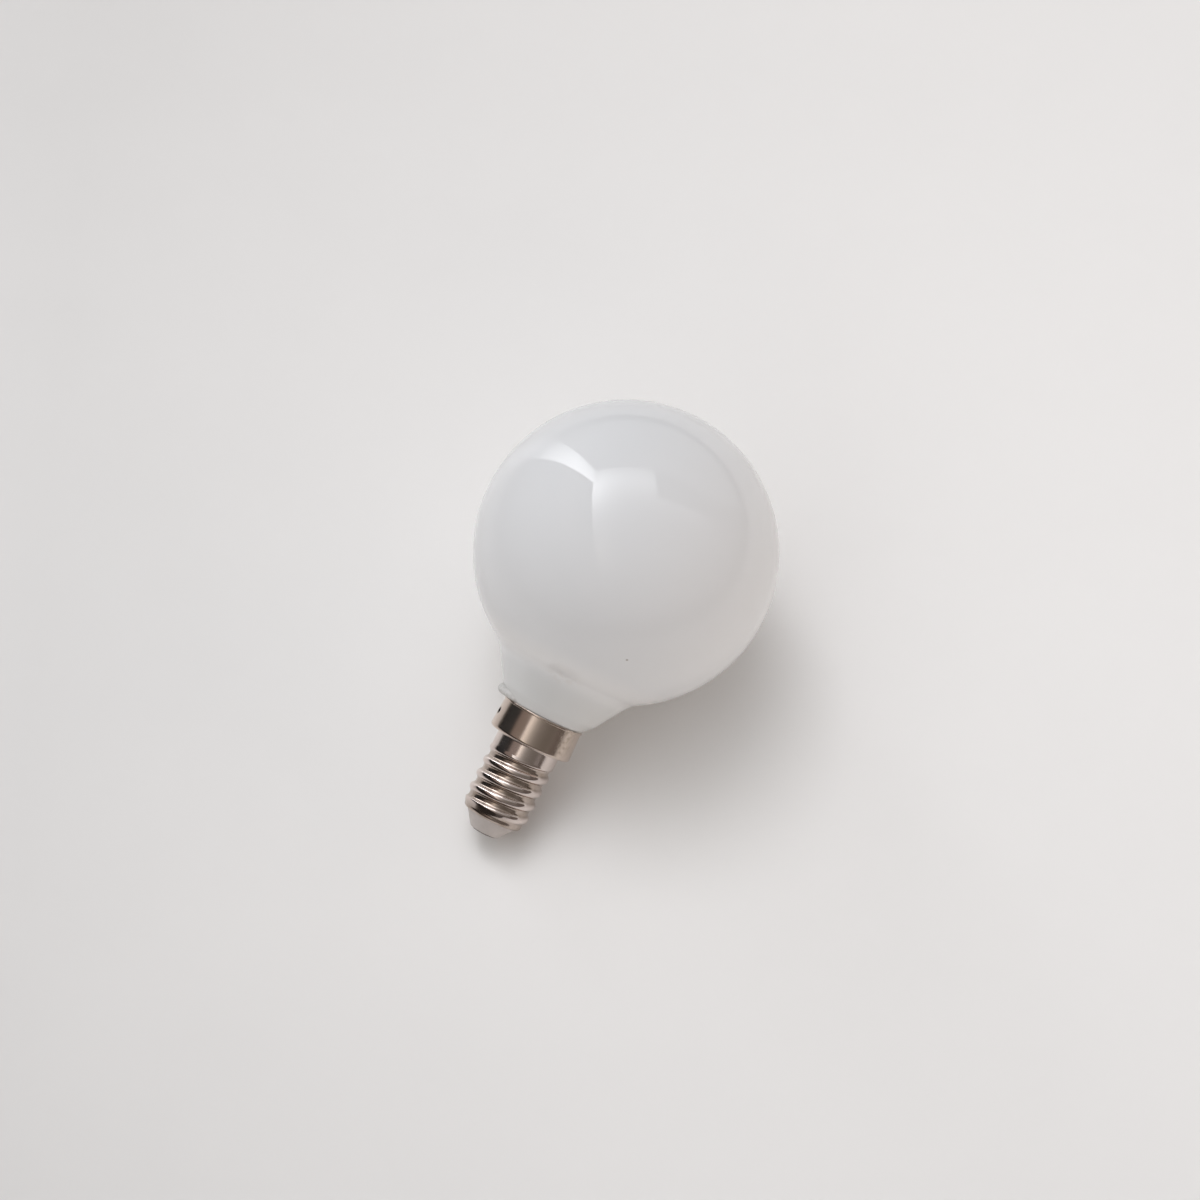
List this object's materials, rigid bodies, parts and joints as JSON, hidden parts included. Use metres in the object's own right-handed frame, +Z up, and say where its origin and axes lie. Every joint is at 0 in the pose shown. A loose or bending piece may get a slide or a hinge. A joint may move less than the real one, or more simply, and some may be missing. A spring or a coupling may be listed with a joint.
{
  "type": "led light bulb",
  "caption": "Opal glass globe bulb with a short tapered neck and a nickel-plated screw base with its insulator and contact, lying on its side.",
  "frame": {"origin": "on the surface that the bulb lies on, under the middle of its bounding box", "axes": "+X along the surface from the globe towards the cap, +Z up"},
  "size_m": [0.0758, 0.0524, 0.0524],
  "materials": {
    "opal_glass": "opal white, glossy",
    "nickel_plate": "bright nickel plate",
    "cement": "matt cement",
    "insulator": "moulded, satin",
    "contact": "worn plate"
  },
  "bodies": {
    "root": {"glass_globe": "opal_glass", "screw_shell": "nickel_plate", "capping_cement": "cement", "base_insulator": "insulator", "centre_contact": "contact"}
  },
  "joints": []
}
